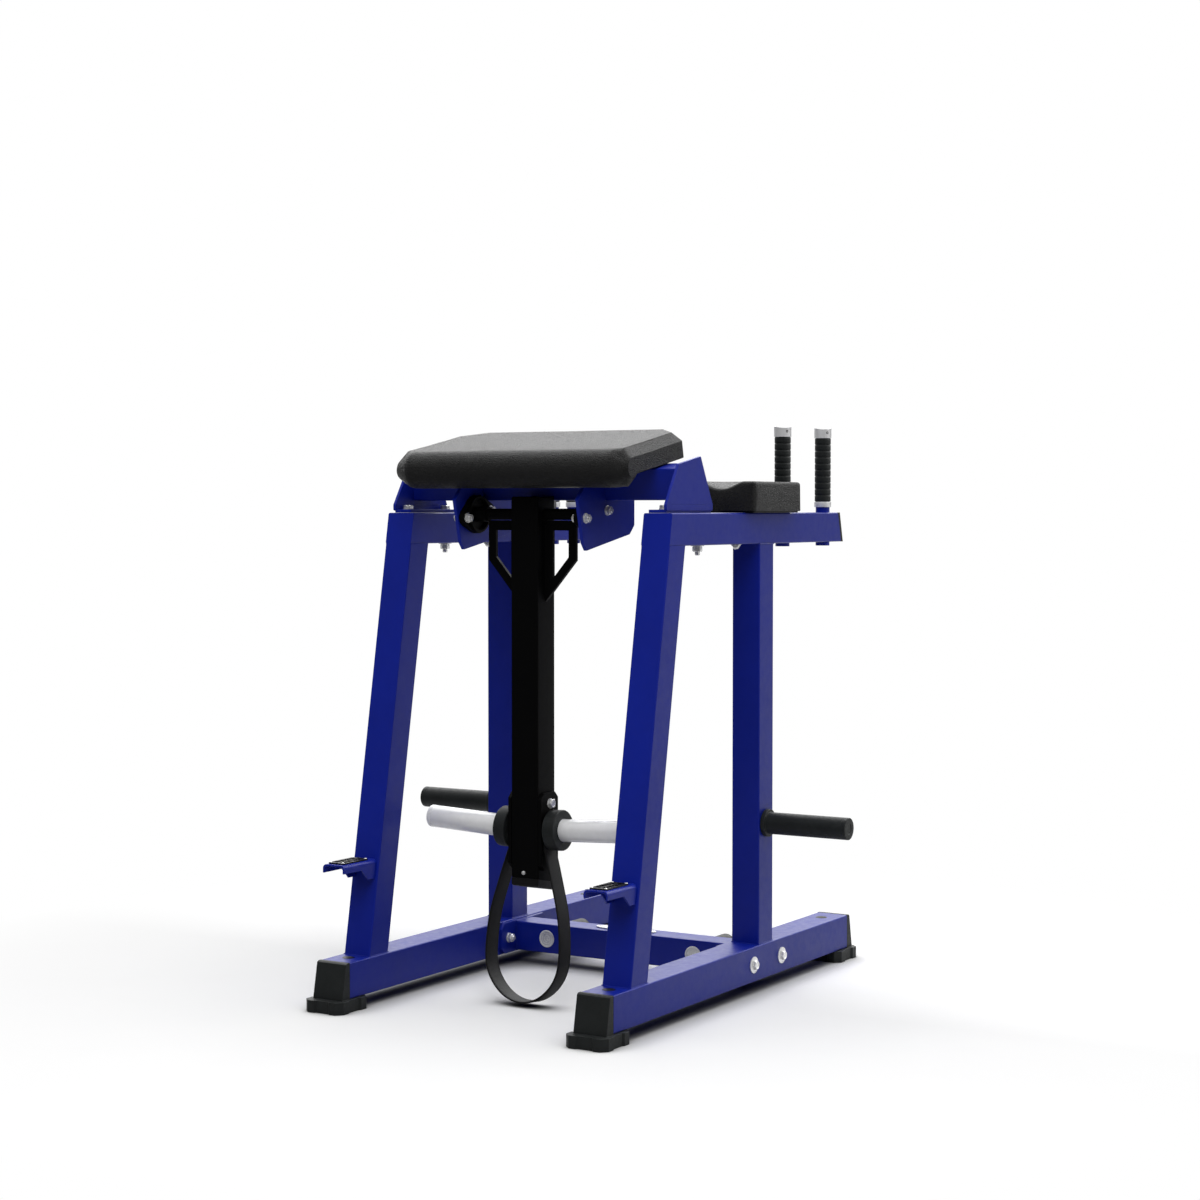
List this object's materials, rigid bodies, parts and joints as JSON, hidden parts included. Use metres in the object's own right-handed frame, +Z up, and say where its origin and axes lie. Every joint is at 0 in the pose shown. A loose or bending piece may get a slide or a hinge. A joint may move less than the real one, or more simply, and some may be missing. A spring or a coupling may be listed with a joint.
{
  "type": "reverse hyperextension machine",
  "caption": "Free-standing bench frame with a padded torso rest, upright grips and a swinging leg pendulum that carries weight sleeves and an ankle strap.",
  "frame": {"origin": "on the floor, under the middle of the four rubber end feet", "axes": "+Z up; +X from the left side frame to the right one, as the user faces forward on the pad; +Y towards the handles, so the legs hang at -Y"},
  "size_m": [1.1566, 1.207, 1.2903],
  "materials": {
    "blue_powder_coat": "semi-gloss powder coat",
    "black_steel": "satin powder coat",
    "black_rubber": "matte",
    "black_plastic": "matte",
    "grained_vinyl": "fine-grained vinyl, satin",
    "pad_board": "plywood, raw",
    "zinc_steel": "zinc plated",
    "chrome": "polished",
    "aluminium": "satin",
    "black_webbing": "woven webbing"
  },
  "bodies": {
    "frame": {"band_peg_bolt_left": "aluminium", "band_peg_bolt_right": "aluminium", "band_peg_left": "black_rubber", "band_peg_right": "black_rubber", "base_cross_tube": "blue_powder_coat", "base_tube_left": "blue_powder_coat", "base_tube_right": "blue_powder_coat", "bearing_housing_left": "black_steel", "bearing_housing_right": "black_steel", "elbow_cushion_left": "grained_vinyl", "elbow_cushion_right": "grained_vinyl", "end_foot_front_left": "black_rubber", "end_foot_front_right": "black_rubber", "end_foot_rear_left": "black_rubber", "end_foot_rear_right": "black_rubber", "flange_bolt_front_left": "zinc_steel", "flange_bolt_front_right": "zinc_steel", "flange_bolt_rear_left": "zinc_steel", "flange_bolt_rear_right": "zinc_steel", "foot_step_left": "blue_powder_coat", "foot_step_right": "blue_powder_coat", "front_upright_left": "blue_powder_coat", "front_upright_right": "blue_powder_coat", "handle_collar_front_left": "aluminium", "handle_collar_front_right": "aluminium", "handle_collar_rear_left": "aluminium", "handle_collar_rear_right": "aluminium", "handle_grip_front_left": "black_rubber", "handle_grip_front_right": "black_rubber", "handle_grip_rear_left": "black_rubber", "handle_grip_rear_right": "black_rubber", "main_pad_board": "pad_board", "main_pad_cushion": "grained_vinyl", "pad_beam": "blue_powder_coat", "pad_bracket_left": "blue_powder_coat", "pad_bracket_right": "blue_powder_coat", "pivot_plate_left": "blue_powder_coat", "pivot_plate_right": "blue_powder_coat", "rear_upright_left": "blue_powder_coat", "rear_upright_right": "blue_powder_coat", "step_tread_left": "black_plastic", "step_tread_right": "black_plastic", "storage_peg_left": "black_rubber", "storage_peg_right": "black_rubber", "top_tube_cap_left": "black_plastic", "top_tube_cap_right": "black_plastic", "top_tube_left": "blue_powder_coat", "top_tube_right": "blue_powder_coat"},
    "pendulum": {"arm_bottom_cap": "black_plastic", "carriage_bolt": "zinc_steel", "carriage_plate_left": "black_steel", "carriage_plate_right": "black_steel", "pendulum_arm": "black_steel", "pivot_shaft": "black_steel", "sleeve_axle": "zinc_steel", "sleeve_bumper_left": "black_rubber", "sleeve_bumper_right": "black_rubber", "weight_sleeve_left": "chrome", "weight_sleeve_right": "chrome"},
    "strap": {"ankle_strap": "black_webbing"}
  },
  "joints": [
    {"name": "pendulum_swing", "type": "hinge", "parent": "frame", "child": "pendulum", "pos_m": [0, -0.271, 1.0858], "axis": [1, 0, 0], "range_deg": [-95, 60]},
    {"name": "strap_hang", "type": "hinge", "parent": "pendulum", "child": "strap", "pos_m": [0, -0.271, 0.39], "axis": [1, 0, 0], "range_deg": [-60, 95]}
  ],
  "couplings": [
    {"joint": "strap_hang", "follows": "pendulum_swing", "ratio": -1}
  ]
}
